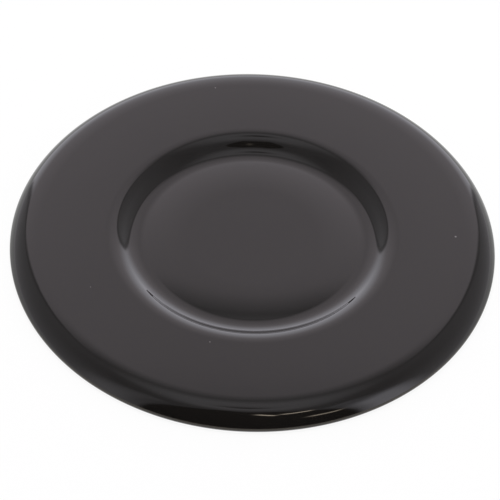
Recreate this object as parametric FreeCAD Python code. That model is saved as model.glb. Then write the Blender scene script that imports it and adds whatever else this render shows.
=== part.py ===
"""Gas burner cap: a round lid pressed from one steel sheet and coated with black enamel.

From the middle outwards the sheet is a flat recess floor that falls a little towards its border,
a recess wall that climbs in an S, a flat flange, and a rim that turns down over a wide shoulder
to a bevelled cut edge. On the underside the recess stands out as a ring-shaped boss, which drops
into the burner head, and the flange around that boss rests on the head.

Frame: +Z is the cap's axis and points up. The origin is on that axis, level with the rim's edge.
All sizes are in millimetres and degrees.
"""

import FreeCAD
import Part
import math
import os

# Whole cap. The thickness is that of the steel with its enamel.
CAP_DIAMETER = 100.0
SHEET_THICKNESS = 1.8

# Recess, measured on the upper face. Its diameter is that of the wall's steepest line, and its
# depth is that of the floor's flat middle. Around that middle the floor curves down to its border.
RECESS_DIAMETER = 52.8
RECESS_DEPTH = 1.34
CROWN_RADIUS = 58.0
CROWN_FALL = 8.5
FLOOR_BEND_RADIUS = 6.4
LIP_BEND_RADIUS = 8.6

# Rim, measured on the upper face: a wide shoulder, then a tight bend down to an upright band,
# and a bevel under that band
SHOULDER_RADIUS = 30.0
SHOULDER_ANGLE = 10.5
RIM_RADIUS = 5.0
RIM_ANGLE = 59.0
EDGE_BAND = 0.85
EDGE_BEVEL = 0.6

# Headings of the section, as it is followed from the axis outwards
LEVEL = 0.0
DOWN_THE_CROWN = -CROWN_FALL
DOWN_THE_SHOULDER = -SHOULDER_ANGLE
DOWN_THE_RIM = -RIM_ANGLE
STRAIGHT_DOWN = -90.0
DOWN_THE_BEVEL = -135.0


def arc_reach(radius, start, end):
    """How far outwards and upwards an arc goes while its heading turns from start to end."""
    side = math.copysign(radius, end - start)
    first = math.radians(start)
    last = math.radians(end)
    outwards = side * (math.sin(last) - math.sin(first))
    upwards = side * (math.cos(first) - math.cos(last))
    return FreeCAD.Vector(outwards, 0, upwards)


def line_reach(length, heading):
    """How far outwards and upwards a straight stretch goes at a heading."""
    angle = math.radians(heading)
    return FreeCAD.Vector(length * math.cos(angle), 0, length * math.sin(angle))


def straight(length, heading):
    """A straight stretch of one face of the section."""
    return length, heading, heading


def bend(radius, start, end):
    """A bend of one face of the section, from one heading to another."""
    return radius, start, end


def trace(point, moves):
    """Edges along one face of the section from a point on the axis, and the point they end at."""
    edges = []
    for size, start, end in moves:
        if start == end:
            next_point = point + line_reach(size, start)
            edges.append(Part.LineSegment(point, next_point).toShape())
        else:
            middle = point + arc_reach(size, start, (start + end) / 2)
            next_point = point + arc_reach(size, start, end)
            edges.append(Part.Arc(point, middle, next_point).toShape())
        point = next_point
    return edges, point


def wall_angle(climb):
    """Steepest angle of a wall made of two bends alone, which climb from the floor's border."""
    border = math.cos(math.radians(CROWN_FALL))
    both_bends = FLOOR_BEND_RADIUS + LIP_BEND_RADIUS
    return math.degrees(math.acos((FLOOR_BEND_RADIUS * border + LIP_BEND_RADIUS - climb) / both_bends))


def cap_section():
    """The closed half section of the sheet, standing on the rim's edge."""
    # Recess: the two bends of the wall meet on the recess diameter
    crown = arc_reach(CROWN_RADIUS, LEVEL, DOWN_THE_CROWN)
    up_the_wall = wall_angle(RECESS_DEPTH - crown.z)
    floor_bend = arc_reach(FLOOR_BEND_RADIUS, DOWN_THE_CROWN, up_the_wall)
    lip_bend = arc_reach(LIP_BEND_RADIUS, up_the_wall, LEVEL)
    floor_length = RECESS_DIAMETER / 2 - floor_bend.x - crown.x
    flange_start = RECESS_DIAMETER / 2 + lip_bend.x

    # Rim: on the inside one bend runs from the flange to the foot, at the sheet's thickness there
    shoulder = arc_reach(SHOULDER_RADIUS, LEVEL, DOWN_THE_SHOULDER)
    rim = arc_reach(RIM_RADIUS, DOWN_THE_SHOULDER, DOWN_THE_RIM)
    edge_height = EDGE_BAND + EDGE_BEVEL
    cap_height = edge_height - shoulder.z - rim.z
    flange_length = CAP_DIAMETER / 2 - rim.x - shoulder.x - flange_start
    lean = math.radians(RIM_ANGLE)
    foot_radius = CAP_DIAMETER / 2 + edge_height / math.tan(lean) - SHEET_THICKNESS / math.sin(lean)
    rim_inside_radius = (cap_height - SHEET_THICKNESS) / (1 - math.cos(lean))
    seat_length = foot_radius - rim_inside_radius * math.sin(lean) - flange_start

    floor_top = FreeCAD.Vector(0, 0, cap_height - RECESS_DEPTH)
    floor_bottom = floor_top - FreeCAD.Vector(0, 0, SHEET_THICKNESS)
    crown_underneath = arc_reach(CROWN_RADIUS - SHEET_THICKNESS, LEVEL, DOWN_THE_CROWN)
    upper_face, outer_end = trace(floor_top, [
        straight(floor_length, LEVEL),
        bend(CROWN_RADIUS, LEVEL, DOWN_THE_CROWN),
        bend(FLOOR_BEND_RADIUS, DOWN_THE_CROWN, up_the_wall),
        bend(LIP_BEND_RADIUS, up_the_wall, LEVEL),
        straight(flange_length, LEVEL),
        bend(SHOULDER_RADIUS, LEVEL, DOWN_THE_SHOULDER),
        bend(RIM_RADIUS, DOWN_THE_SHOULDER, DOWN_THE_RIM),
        straight(EDGE_BAND, STRAIGHT_DOWN),
        straight(EDGE_BEVEL * math.sqrt(2), DOWN_THE_BEVEL),
    ])
    underside, inner_end = trace(floor_bottom, [
        straight(floor_length, LEVEL),
        straight(crown_underneath.Length, DOWN_THE_CROWN / 2),
        bend(FLOOR_BEND_RADIUS + SHEET_THICKNESS, DOWN_THE_CROWN, up_the_wall),
        bend(LIP_BEND_RADIUS - SHEET_THICKNESS, up_the_wall, LEVEL),
        straight(seat_length, LEVEL),
        bend(rim_inside_radius, LEVEL, DOWN_THE_RIM),
    ])
    foot = Part.LineSegment(outer_end, inner_end).toShape()
    axis = Part.LineSegment(floor_bottom, floor_top).toShape()
    outline = Part.sortEdges(upper_face + underside + [foot, axis])[0]
    return Part.Face(Part.Wire(outline))


cap = cap_section().revolve(FreeCAD.Vector(0, 0, 0), FreeCAD.Vector(0, 0, 1), 360)
box = cap.optimalBoundingBox(False, False)
print("valid", cap.isValid(), "solids", len(cap.Solids), "volume", round(cap.Volume, 1))
print("size", round(box.XLength, 3), round(box.YLength, 3), round(box.ZLength, 3))
os.makedirs("parts", exist_ok=True)
cap.exportStep("parts/burner_cap.step")
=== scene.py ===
import math

import bpy
import numpy as np
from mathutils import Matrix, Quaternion, Vector


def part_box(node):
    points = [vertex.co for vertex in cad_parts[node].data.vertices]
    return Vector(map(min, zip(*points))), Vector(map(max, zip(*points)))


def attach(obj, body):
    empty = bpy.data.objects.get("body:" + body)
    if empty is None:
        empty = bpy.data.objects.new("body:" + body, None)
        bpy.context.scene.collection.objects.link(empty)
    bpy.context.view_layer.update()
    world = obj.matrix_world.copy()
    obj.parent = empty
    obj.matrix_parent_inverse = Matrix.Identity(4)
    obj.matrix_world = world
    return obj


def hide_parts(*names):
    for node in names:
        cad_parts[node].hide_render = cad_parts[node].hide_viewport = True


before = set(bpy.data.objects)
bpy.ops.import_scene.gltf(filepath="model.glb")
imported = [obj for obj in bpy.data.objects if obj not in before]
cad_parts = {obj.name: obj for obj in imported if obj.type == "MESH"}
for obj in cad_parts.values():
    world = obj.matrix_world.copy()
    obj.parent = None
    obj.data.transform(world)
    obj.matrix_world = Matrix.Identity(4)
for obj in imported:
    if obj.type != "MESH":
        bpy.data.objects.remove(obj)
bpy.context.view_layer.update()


# Burner cap. A round lid pressed from one sheet of steel: the press sinks the recess, whose floor
# stays a little crowned, and turns the rim down. The cut edge is ground round before enamelling.
MM = 0.001
SHEET_THICKNESS = 1.8
RECESS_RADIUS = 26.54
RECESS_WALL_ANGLE = 30.8
RECESS_WALL_LENGTH = 0.36
CROWN_RADIUS = 63.0
CROWN_FALL = 8.3
FLOOR_BEND_RADIUS = 6.3
LIP_BEND_RADIUS = 7.15
FLANGE_FALL = 2.0
SHOULDER_RADIUS = 18.5
SHOULDER_ANGLE = 10.8
RIM_BEND_RADIUS = 4.85
RIM_ANGLE = 59.4
EDGE_ROUND = 0.96
TURN_STEPS = 400

cap_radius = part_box("burner_cap")[1].x / MM


def reach(radius, first, last):
    """How far outwards and upwards a bend goes while its heading turns from first to last, in
    degrees: radius times the change of the heading's sine, and of its cosine the other way."""
    side = math.copysign(radius, last - first)
    first, last = math.radians(first), math.radians(last)
    return side * (math.sin(last) - math.sin(first)), side * (math.cos(first) - math.cos(last))


def cap_section():
    """Radius, height, heading and coat at each point of the half section, from the axis over the
    upper face, round the cut edge and back along the underside. A stretch is (size, first heading,
    last heading, steps): a straight one keeps its heading and is size long, and a bend of radius
    size turns evenly. Each chord points halfway between the headings at its ends, and the points
    are the sum of the chords. The recess radius is that of the middle of its wall, and the flange
    is one very wide bend. The underside repeats the upper face at the sheet's thickness, in half
    the steps."""
    crown_out, crown_up = reach(CROWN_RADIUS, 0, -CROWN_FALL)
    floor_out, floor_up = reach(FLOOR_BEND_RADIUS, -CROWN_FALL, RECESS_WALL_ANGLE)
    wall_out = RECESS_WALL_LENGTH * math.cos(math.radians(RECESS_WALL_ANGLE))
    wall_up = RECESS_WALL_LENGTH * math.sin(math.radians(RECESS_WALL_ANGLE))
    lip_out, lip_up = reach(LIP_BEND_RADIUS, RECESS_WALL_ANGLE, 0)
    shoulder_out, shoulder_up = reach(SHOULDER_RADIUS, -FLANGE_FALL, -SHOULDER_ANGLE)
    rim_out, rim_up = reach(RIM_BEND_RADIUS, -SHOULDER_ANGLE, -RIM_ANGLE)
    edge_out = reach(EDGE_ROUND, -RIM_ANGLE, -90)[0]
    edge_up = reach(EDGE_ROUND, -RIM_ANGLE, -180)[1]
    floor_length = RECESS_RADIUS - wall_out / 2 - floor_out - crown_out
    lip_end = RECESS_RADIUS + wall_out / 2 + lip_out
    flange_length = cap_radius - edge_out - rim_out - shoulder_out - lip_end
    flange_radius = flange_length / math.sin(math.radians(FLANGE_FALL))
    flange_up = reach(flange_radius, 0, -FLANGE_FALL)[1]
    recess_up = crown_up + floor_up + wall_up + lip_up
    start_height = -(recess_up + flange_up + shoulder_up + rim_up + edge_up)
    upper = [
        (floor_length, 0, 0, 12),
        (CROWN_RADIUS, 0, -CROWN_FALL, 14),
        (FLOOR_BEND_RADIUS, -CROWN_FALL, RECESS_WALL_ANGLE, 24),
        (RECESS_WALL_LENGTH, RECESS_WALL_ANGLE, RECESS_WALL_ANGLE, 2),
        (LIP_BEND_RADIUS, RECESS_WALL_ANGLE, 0, 22),
        (flange_radius, 0, -FLANGE_FALL, 14),
        (SHOULDER_RADIUS, -FLANGE_FALL, -SHOULDER_ANGLE, 12),
        (RIM_BEND_RADIUS, -SHOULDER_ANGLE, -RIM_ANGLE, 36),
    ]
    lean = math.radians(RIM_ANGLE)
    inner_round = (SHEET_THICKNESS - EDGE_ROUND * (1 + math.cos(lean))) / (1 - math.cos(lean))
    edge = [
        (EDGE_ROUND, -RIM_ANGLE, -180, 24),
        (inner_round, -180, -180 - RIM_ANGLE, 10),
        ((EDGE_ROUND - inner_round) * math.sin(lean), -180 - RIM_ANGLE, -180 - RIM_ANGLE, 2),
    ]
    under = []
    for size, first, last, steps in reversed(upper):
        deeper = SHEET_THICKNESS * np.sign(last - first)
        under.append((size + deeper, last - 180, first - 180, steps // 2))

    chords = []
    headings = [[0.0]]
    coats = [[0.0]]
    for coat, stretches in enumerate((upper, edge, under)):
        for size, first, last, steps in stretches:
            half_turn = math.radians(abs(last - first) / steps / 2)
            chord = 2 * size * math.sin(half_turn) if first != last else size / steps
            chords.append(np.full(steps, chord))
            headings.append(np.linspace(first, last, steps + 1)[1:])
            coats.append(np.full(steps, float(coat)))
    chords = np.concatenate(chords)
    headings = np.concatenate(headings)
    along = np.radians((headings[1:] + headings[:-1]) / 2)
    radii = np.concatenate([[0.0], np.cumsum(chords * np.cos(along))])
    heights = start_height + np.concatenate([[0.0], np.cumsum(chords * np.sin(along))])
    return radii, heights, np.radians(headings), np.concatenate(coats)


def spin(outwards, upwards, count):
    """A section's vectors turned about the Z axis, ring by ring: (o cos a, o sin a, u). The first
    and the last lie on the axis, so they come once each, after the rings."""
    angles = np.arange(count) * 2 * math.pi / count
    rings = np.stack([
        np.outer(outwards[1:-1], np.cos(angles)),
        np.outer(outwards[1:-1], np.sin(angles)),
        np.outer(upwards[1:-1], np.ones(count)),
    ], axis=-1).reshape(-1, 3)
    return np.vstack([rings, [0, 0, upwards[0]], [0, 0, upwards[-1]]])


def spun_object(name, radii, heights, count):
    """A smooth mesh object of a section turned about the Z axis, with its place in its points:
    four-sided faces between the rings, and a fan of triangles around each pole."""
    points = spin(radii, heights, count)
    ids = np.arange(len(points) - 2).reshape(-1, count)
    beside = np.roll(ids, -1, axis=1)
    quads = np.stack([ids[:-1], ids[1:], beside[1:], beside[:-1]], axis=-1).reshape(-1, 4)
    first_pole = np.full(count, len(points) - 2)
    first_fan = np.stack([first_pole, ids[0], beside[0]], axis=-1)
    last_fan = np.stack([first_pole + 1, beside[-1], ids[-1]], axis=-1)
    mesh = bpy.data.meshes.new(name)
    mesh.from_pydata(points.tolist(), [], quads.tolist() + first_fan.tolist() + last_fan.tolist())
    mesh.shade_smooth()
    made = bpy.data.objects.new(name, mesh)
    bpy.context.scene.collection.objects.link(made)
    return made


section_radii, section_heights, section_headings, section_coats = cap_section()
cap = spun_object("enamelled_cap", section_radii * MM, section_heights * MM, TURN_STEPS)
cap_normals = spin(-np.sin(section_headings), np.cos(section_headings), TURN_STEPS)
cap.data.normals_split_custom_set_from_vertices(cap_normals.tolist())
cap_height = section_heights.max()

# Where the section is the cut edge and where it is the underside, at each point of the mesh
for attribute, coat in (("cut_edge", 1), ("underside", 2)):
    shares = (section_coats == coat).astype(float)
    shares = np.concatenate([np.repeat(shares[1:-1], TURN_STEPS), shares[[0, -1]]])
    cap.data.attributes.new(attribute, "FLOAT", "POINT").data.foreach_set("value", shares)


def linear(hex_colour):
    """Linear RGBA of an sRGB hex colour: a channel c becomes c / 12.92 up to 0.04045, and
    ((c + 0.055) / 1.055) to the power 2.4 above that."""
    channels = np.array([int(hex_colour[i:i + 2], 16) for i in (1, 3, 5)]) / 255
    low = channels / 12.92
    high = ((channels + 0.055) / 1.055) ** 2.4
    return (*np.where(channels <= 0.04045, low, high).tolist(), 1.0)


def add_node(tree, kind, inputs, **settings):
    """A new node: settings go to its properties, and each input is linked if its value is another
    node's output, or else set to that value."""
    node = tree.nodes.new(kind)
    for name, value in settings.items():
        setattr(node, name, value)
    for name, value in inputs.items():
        if isinstance(value, bpy.types.NodeSocket):
            tree.links.new(value, node.inputs[name])
        else:
            node.inputs[name].default_value = value
    return node


def per_metre(size_mm):
    """The scale at which a texture's features are about this many millimetres across."""
    return 1 / (size_mm * MM)


# Black vitreous enamel: powdered glass fired on steel. It gives the eye a deep black under a
# mirror of clear glass with a very fine orange peel. It draws thin and brownish over the cut edge,
# and the underside has the ground coat alone, which is less glossy.
ENAMEL_BLACKS = ("#12100e", "#161412")
EDGE_BROWN = "#2a2419"
GROUND_COAT = "#1b1b1c"
GLASS_IOR = 1.5
GLASS_ROUGHNESS = (0.012, 0.03)
EDGE_ROUGHER = 0.06
UNDERSIDE_ROUGHER = 0.2
CLOUD_SIZE = 12.0
PEEL_SIZE = 1.5
PEEL_DEPTH = 0.002
UNDERSIDE_PEEL_DEEPER = 0.006
enamel = bpy.data.materials.new("vitreous_enamel_black_fired")
enamel.use_nodes = True
tree = enamel.node_tree
tree.nodes.clear()
place = add_node(tree, "ShaderNodeTexCoord", {}).outputs["Object"]
cut_edge = add_node(tree, "ShaderNodeAttribute", {}, attribute_name="cut_edge").outputs["Fac"]
underside = add_node(tree, "ShaderNodeAttribute", {}, attribute_name="underside").outputs["Fac"]
clouds = add_node(tree, "ShaderNodeTexNoise", {
    "Vector": place, "Scale": per_metre(CLOUD_SIZE), "Detail": 2.0, "Roughness": 0.5,
}).outputs["Fac"]
peel = add_node(tree, "ShaderNodeTexNoise", {
    "Vector": place, "Scale": per_metre(PEEL_SIZE), "Detail": 1.0, "Roughness": 0.4,
}).outputs["Fac"]

# Specks: bits of pale grit melted into the glaze, each at a place across and back, with a width.
# A speck's border is soft, from these shares of its width inwards.
SPECKS = [(41.7, 0.7, 0.40), (-9.2, 42.6, 0.25), (-7.8, -30.4, 0.25), (-32.3, -16.8, 0.20)]
SPECK_GREY = "#6a6868"
SPECK_BORDER = (0.65, 0.35)
plan = add_node(tree, "ShaderNodeVectorMath", {0: place, 1: (1, 1, 0)}, operation="MULTIPLY").outputs[0]
specks = 0.0
for across, back, width in SPECKS:
    off = add_node(tree, "ShaderNodeVectorMath", {
        0: plan, 1: (across * MM, back * MM, 0),
    }, operation="DISTANCE")
    speck = add_node(tree, "ShaderNodeMapRange", {
        "Value": off.outputs["Value"],
        "From Min": SPECK_BORDER[0] * width * MM, "From Max": SPECK_BORDER[1] * width * MM,
    })
    specks = add_node(tree, "ShaderNodeMath", {
        0: specks, 1: speck.outputs[0],
    }, operation="ADD").outputs[0]

# The mix node keeps its colour inputs at 6 and 7, and its colour output at 2
colour = linear(ENAMEL_BLACKS[0])
for share, layer in (
    (clouds, ENAMEL_BLACKS[1]), (cut_edge, EDGE_BROWN), (specks, SPECK_GREY), (underside, GROUND_COAT),
):
    mix = add_node(tree, "ShaderNodeMix", {0: share, 6: colour, 7: linear(layer)}, data_type="RGBA")
    colour = mix.outputs[2]
gloss = add_node(tree, "ShaderNodeMapRange", {
    "Value": clouds, "To Min": GLASS_ROUGHNESS[0], "To Max": GLASS_ROUGHNESS[1],
})
roughness = gloss.outputs[0]
for share, added in ((cut_edge, EDGE_ROUGHER), (underside, UNDERSIDE_ROUGHER)):
    roughness = add_node(tree, "ShaderNodeMath", {
        0: share, 1: added, 2: roughness,
    }, operation="MULTIPLY_ADD").outputs[0]
peel_depth = add_node(tree, "ShaderNodeMath", {
    0: underside, 1: UNDERSIDE_PEEL_DEEPER * MM, 2: PEEL_DEPTH * MM,
}, operation="MULTIPLY_ADD").outputs[0]
peel_bump = add_node(tree, "ShaderNodeBump", {"Height": peel, "Distance": peel_depth, "Strength": 1.0})
glass = add_node(tree, "ShaderNodeBsdfPrincipled", {
    "Base Color": colour, "Roughness": roughness, "IOR": GLASS_IOR, "Normal": peel_bump.outputs["Normal"],
})
add_node(tree, "ShaderNodeOutputMaterial", {"Surface": glass.outputs["BSDF"]})
cap.data.materials.append(enamel)
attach(cap, "root")
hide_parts("burner_cap")


# Floor. A sheet of plain white card that the cap stands on. It is shown as lit white card, and
# keeps a share of its own shading, so that the cap's shadow stays on it.
FLOOR_RADIUS = 3000.0
FLOOR_INNER_RING = 200.0
FLOOR_LEVEL = -0.02
FLOOR_THICKNESS = 5.0
FLOOR_STEPS = 64
CARD_WHITE = "#f4f4f4"
SHOWN_WHITE = 0.9
floor_radii = np.array([0.0, FLOOR_INNER_RING, FLOOR_RADIUS, 0.0])
floor_heights = FLOOR_LEVEL - np.array([0.0, 0.0, 0.0, FLOOR_THICKNESS])
floor = spun_object("card_floor", floor_radii * MM, floor_heights * MM, FLOOR_STEPS)
card = bpy.data.materials.new("white_card_matt")
card.use_nodes = True
tree = card.node_tree
tree.nodes.clear()
ray = add_node(tree, "ShaderNodeLightPath", {})
shown = 0.0
for kind in ("Is Camera Ray", "Is Glossy Ray", "Is Transmission Ray"):
    shown = add_node(tree, "ShaderNodeMath", {
        0: shown, 1: ray.outputs[kind],
    }, operation="MAXIMUM").outputs[0]
shown_share = add_node(tree, "ShaderNodeMath", {0: shown, 1: SHOWN_WHITE}, operation="MULTIPLY")
lit_card = add_node(tree, "ShaderNodeBsdfDiffuse", {"Color": linear(CARD_WHITE)})
white = add_node(tree, "ShaderNodeEmission", {"Color": linear("#ffffff"), "Strength": 1.0})
card_face = add_node(tree, "ShaderNodeMixShader", {
    0: shown_share.outputs[0], 1: lit_card.outputs[0], 2: white.outputs[0],
})
add_node(tree, "ShaderNodeOutputMaterial", {"Surface": card_face.outputs[0]})
floor.data.materials.append(card)


# Light tent. A tent of white cloth around the cap, lit from outside. Its back is one bright panel
# sewn in along a dark seam, a window brightens the cloth on the camera's right, and the front is
# open for the camera. A light of 1 is white, and a pair of numbers is a border that fades.
TENT_RADIUS = 880.0
TENT_FOOT = -1.0
TENT_TURN = 1.2
TENT_RISE_STEPS = 182
TENT_TURN_STEPS = 480
CLOTH_TINT = linear("#fcf9ff")
PANEL_TINT = linear("#fff6fd")
WINDOW_TINT = linear("#f8f6ff")
tent_slopes = np.radians(np.linspace(TENT_FOOT, 90, TENT_RISE_STEPS + 1))
tent_radii = TENT_RADIUS * np.cos(tent_slopes)
tent_heights = cap_height + TENT_RADIUS * np.sin(tent_slopes)
tent_radii[-1] = 0
tent_section = np.hstack([[[0], [tent_heights[0]]], [tent_radii, tent_heights]]) * MM
tent = spun_object("light_tent", *tent_section, TENT_TURN_STEPS)

# Azimuth and elevation of the tent's points as seen from the cap, in degrees. Azimuth 0 is towards
# the camera and 90 to its right, before the tent's own small turn.
tent_points = spin(*tent_section, TENT_TURN_STEPS) / MM - np.array([0, 0, cap_height])
azimuth = np.degrees(np.arctan2(tent_points[:, 0], -tent_points[:, 1])) - TENT_TURN
elevation = np.degrees(np.arcsin(np.clip(tent_points[:, 2] / TENT_RADIUS, -1, 1)))
side = np.abs(azimuth)


def rise(value, start, end):
    """Smooth step: 0 up to start, 1 from end on, and 3t² - 2t³ between them."""
    share = np.clip((value - start) / (end - start), 0, 1)
    return share * share * (3 - 2 * share)


def cover(under, light, share, tint):
    """Colours with a part of the tent laid over them: under, moved by the part's share towards the
    part's light times its tint."""
    return under + share[:, None] * (np.outer(light, tint) - under)


def ceiling_place(lowest):
    """Where the direction to each point of the tent meets a level ceiling of height 1: its
    elevation's cotangent, to the right and to the back. Elevations under the lowest count as that."""
    away = 1 / np.tan(np.radians(np.maximum(elevation, lowest)))
    return np.sin(np.radians(azimuth)) * away, -np.cos(np.radians(azimuth)) * away


# Walls: cloth that is brighter towards the back and in a band at the foot, and darker upwards
WALL_LIGHT = 0.755
WALL_BACK_GAIN = 0.23
WALL_BACK = (80, 140)
WALL_FOOT_GAIN = 0.3
WALL_FOOT = (0, 8)
WALL_LOSS_PER_DEGREE = 0.0098
walls = WALL_LIGHT + WALL_BACK_GAIN * rise(side, *WALL_BACK)
walls *= 1 + WALL_FOOT_GAIN * (1 - rise(elevation, *WALL_FOOT))
walls *= 1 - WALL_LOSS_PER_DEGREE * elevation
colours = np.outer(walls, CLOTH_TINT)

# A bright strip on each side of the opening, plain cloth on the left and the window on the right:
# its hand, its light at the foot and at the top, where that changes, its two borders and its tint
STRIPS = [
    (-1, 1.03, 0.50, (12, 73), (44, 57), (60, 76), CLOTH_TINT),
    (1, 2.10, 0.65, (33, 56), (40, 53), (60, 76), WINDOW_TINT),
]
for hand, foot_light, top_light, change, near, far, tint in STRIPS:
    strip = foot_light + (top_light - foot_light) * rise(elevation, *change)
    strip_share = rise(hand * azimuth, *near) * (1 - rise(hand * azimuth, *far))
    colours = cover(colours, strip, strip_share, tint)

# Roof: dull cloth with a brighter lane along its middle, which dims before it meets the back panel.
# A small vent in the lane is dark, by exp(-(distance / reach)²) to the back and to the side.
ROOF_LOWEST = 45
ROOF_LIGHT = 0.33
LANE_GAIN = 0.52
LANE_LOSS = 0.32
LANE_LOSS_BACK = (0.36, 0.47)
LANE_FRONT = (-0.14, 0.14)
LANE_SIDE = (0.08, 0.36)
VENT_BACK = 0.24
VENT_REACH_BACK = 0.05
VENT_REACH_SIDE = 0.055
VENT_DARKNESS = 0.9
ROOF_EDGE = 65
ROOF_EDGE_LOWER = 13
ROOF_EDGE_LOWER_BACK = (0, 0.3)
ROOF_BORDER = 2
to_right, to_back = ceiling_place(ROOF_LOWEST)
lane = 1 - rise(np.abs(to_right), *LANE_SIDE)
lane_gain = LANE_GAIN - LANE_LOSS * rise(to_back, *LANE_LOSS_BACK)
roof = ROOF_LIGHT + lane_gain * lane * rise(to_back, *LANE_FRONT)
off_vent = ((to_back - VENT_BACK) / VENT_REACH_BACK) ** 2 + (to_right / VENT_REACH_SIDE) ** 2
roof *= 1 - VENT_DARKNESS * np.exp(-off_vent)
roof_edge = ROOF_EDGE - ROOF_EDGE_LOWER * lane * rise(to_back, *ROOF_EDGE_LOWER_BACK)
roof_share = rise(elevation, roof_edge - ROOF_BORDER, roof_edge + ROOF_BORDER)
colours = cover(colours, roof, roof_share, CLOTH_TINT)

# Back panel: one flat, bright cloth, brightest and cooler at its foot and duller in its middle. Its
# sides close in upwards, and its top fades into the roof. A height on it is the elevation that the
# same height has straight back: its tangent is the elevation's, over the cosine of the turn from there.
PANEL_LIGHT = 1.88
PANEL_LOSS_PER_DEGREE = 0.0137
PANEL_FOOT_GAIN = 0.5
PANEL_FOOT = (16, 32)
PANEL_COOL_FOOT = (12, 36)
PANEL_MIDDLE_LOSS = 0.07
PANEL_MIDDLE = (165, 180)
PANEL_SIDE = 146.2
PANEL_CLOSES_IN = 4
PANEL_CLOSES_HEIGHT = (12, 42)
PANEL_BORDER = 1.2
PANEL_TOP = (53, 65)
HIGHEST_ELEVATION = 89
LEAST_TURN_COSINE = 0.5
panel = PANEL_LIGHT - PANEL_LOSS_PER_DEGREE * elevation
panel += PANEL_FOOT_GAIN * (1 - rise(elevation, *PANEL_FOOT))
panel *= 1 - PANEL_MIDDLE_LOSS * rise(side, *PANEL_MIDDLE)
panel_side = PANEL_SIDE + PANEL_CLOSES_IN * rise(elevation, *PANEL_CLOSES_HEIGHT)
turn_cosine = np.maximum(-np.cos(np.radians(azimuth)), LEAST_TURN_COSINE)
slope = np.tan(np.radians(np.minimum(elevation, HIGHEST_ELEVATION)))
up_panel = np.degrees(np.arctan(slope / turn_cosine))
panel_share = rise(side, panel_side - PANEL_BORDER, panel_side + PANEL_BORDER)
panel_share *= 1 - rise(up_panel, *PANEL_TOP)
cool_share = panel_share * (1 - rise(elevation, *PANEL_COOL_FOOT))
colours = cover(colours, panel, panel_share, PANEL_TINT)
colours = cover(colours, panel, cool_share, WINDOW_TINT)

# Seam: a darker line around the panel, fainter along its top, by exp(-(distance / reach)²)
SEAM_DARKNESS = 0.3
SEAM_TOP_LIGHTER = 0.15
SEAM_TOP = (50, 62)
SEAM_BESIDE = 2.2
SEAM_HEIGHT = 63.8
SEAM_REACH = 1.4
seam = SEAM_DARKNESS - SEAM_TOP_LIGHTER * rise(elevation, *SEAM_TOP)
off_seam = np.maximum(panel_side - SEAM_BESIDE - side, up_panel - SEAM_HEIGHT)
seam *= np.exp(-(off_seam / SEAM_REACH) ** 2)
colours *= 1 - seam[:, None]

# Opening: the dark room behind the camera, a little lighter near its floor
OPENING_LIGHT = 0.045
OPENING_FOOT_GAIN = 0.05
OPENING_FOOT = (0, 16)
OPENING_SIDE = (41, 45)
OPENING_TOP = (81, 86)
opening = OPENING_LIGHT + OPENING_FOOT_GAIN * (1 - rise(elevation, *OPENING_FOOT))
opening_share = (1 - rise(side, *OPENING_SIDE)) * (1 - rise(elevation, *OPENING_TOP))
colours = cover(colours, opening, opening_share, CLOTH_TINT)

# Lamp tubes on the room's ceiling, seen through the opening. Each is a line between two places, to
# the right and to the front, with its half width and its brightness, and the first is the dim end
# of the second. Its light at a distance d from the line is its brightness times
# exp(-(d / half width)²).
LAMPS_LOWEST = 20
LAMP_TINT = linear("#ffeed8")
LAMP_TUBES = [
    ((0.042, 0.28), (0.05, 0.315), 0.022, 0.8),
    ((0.05, 0.335), (0.12, 0.425), 0.021, 7.5),
    ((0.17, 0.345), (0.262, 0.3), 0.024, 8.0),
    ((0.52, 0.89), (0.69, 0.86), 0.06, 5.0),
]
to_right, to_back = ceiling_place(LAMPS_LOWEST)
ceiling_points = np.stack([to_right, -to_back], axis=-1)
for start, end, half_width, brightness in LAMP_TUBES:
    along = np.subtract(end, start)
    along_share = np.clip((ceiling_points - start) @ along / (along @ along), 0, 1)
    off_line = np.linalg.norm(ceiling_points - start - np.outer(along_share, along), axis=1)
    colours += np.outer(brightness * np.exp(-(off_line / half_width) ** 2), LAMP_TINT)
tent.data.attributes.new("tent_light", "FLOAT_COLOR", "POINT").data.foreach_set("color", colours.ravel())

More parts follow.
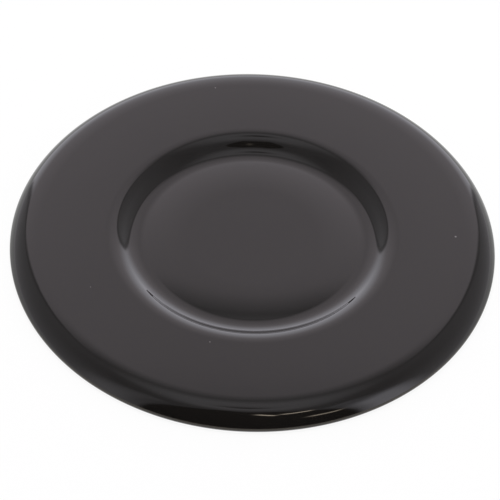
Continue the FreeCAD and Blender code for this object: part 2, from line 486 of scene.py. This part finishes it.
# Lit tent cloth: it gives the eye an even glow without grain. It isn't sampled as a lamp, so its
# light is found by the rays that meet it.
cloth = bpy.data.materials.new("white_tent_cloth_lit")
cloth.use_nodes = True
cloth.cycles.emission_sampling = "NONE"
tree = cloth.node_tree
tree.nodes.clear()
cloth_light = add_node(tree, "ShaderNodeAttribute", {}, attribute_name="tent_light")
glow = add_node(tree, "ShaderNodeEmission", {"Color": cloth_light.outputs["Color"], "Strength": 1.0})
add_node(tree, "ShaderNodeOutputMaterial", {"Surface": glow.outputs[0]})
tent.data.materials.append(cloth)
tent.visible_camera = False

# A soft box in the tent's top, which lights the card and isn't mirrored: the enamel mirrors the cloth
SOFT_BOX_SIZE = 600.0
SOFT_BOX_HEIGHT = 800.0
SOFT_BOX_WATTS = 4.0
soft_box_data = bpy.data.lights.new("soft_box", "AREA")
soft_box_data.size = SOFT_BOX_SIZE * MM
soft_box_data.energy = SOFT_BOX_WATTS
soft_box = bpy.data.objects.new("soft_box", soft_box_data)
soft_box.location = (0, 0, SOFT_BOX_HEIGHT * MM)
soft_box.visible_glossy = False
bpy.context.scene.collection.objects.link(soft_box)

# Plain white around it all, which low views see past the floor: the camera doesn't see the tent
world = bpy.data.worlds.new("white_room")
world.use_nodes = True
world.node_tree.nodes["Background"].inputs["Color"].default_value = linear("#ffffff")
world.node_tree.nodes["Background"].inputs["Strength"].default_value = 1.0
bpy.context.scene.world = world


# Camera. A long lens a little over half a metre away, looking down at the cap. It aims at a place
# on the flange's level, across and back from the axis.
CAMERA_DISTANCE = 561.0
CAMERA_ELEVATION = 46.62
CAMERA_ROLL = 1.90
LENS = 196.5
SENSOR_WIDTH = 36.0
AIM = (-0.49, -5.18)
flange_middle = Vector((0, 0, cap_height)) * MM
aim_point = Vector((*AIM, cap_height)) * MM
up_angle = math.radians(CAMERA_ELEVATION)
towards_camera = Vector((0, -math.cos(up_angle), math.sin(up_angle)))
camera_data = bpy.data.cameras.new("camera")
camera_data.lens = LENS
camera_data.sensor_width = SENSOR_WIDTH
camera = bpy.data.objects.new("camera", camera_data)
bpy.context.scene.collection.objects.link(camera)
camera.location = flange_middle + towards_camera * CAMERA_DISTANCE * MM
facing = (aim_point - camera.location).to_track_quat("-Z", "Y")
camera.rotation_mode = "QUATERNION"
camera.rotation_quaternion = facing @ Quaternion((0, 0, 1), math.radians(CAMERA_ROLL))
bpy.context.scene.camera = camera
bpy.context.scene.view_settings.view_transform = "Standard"
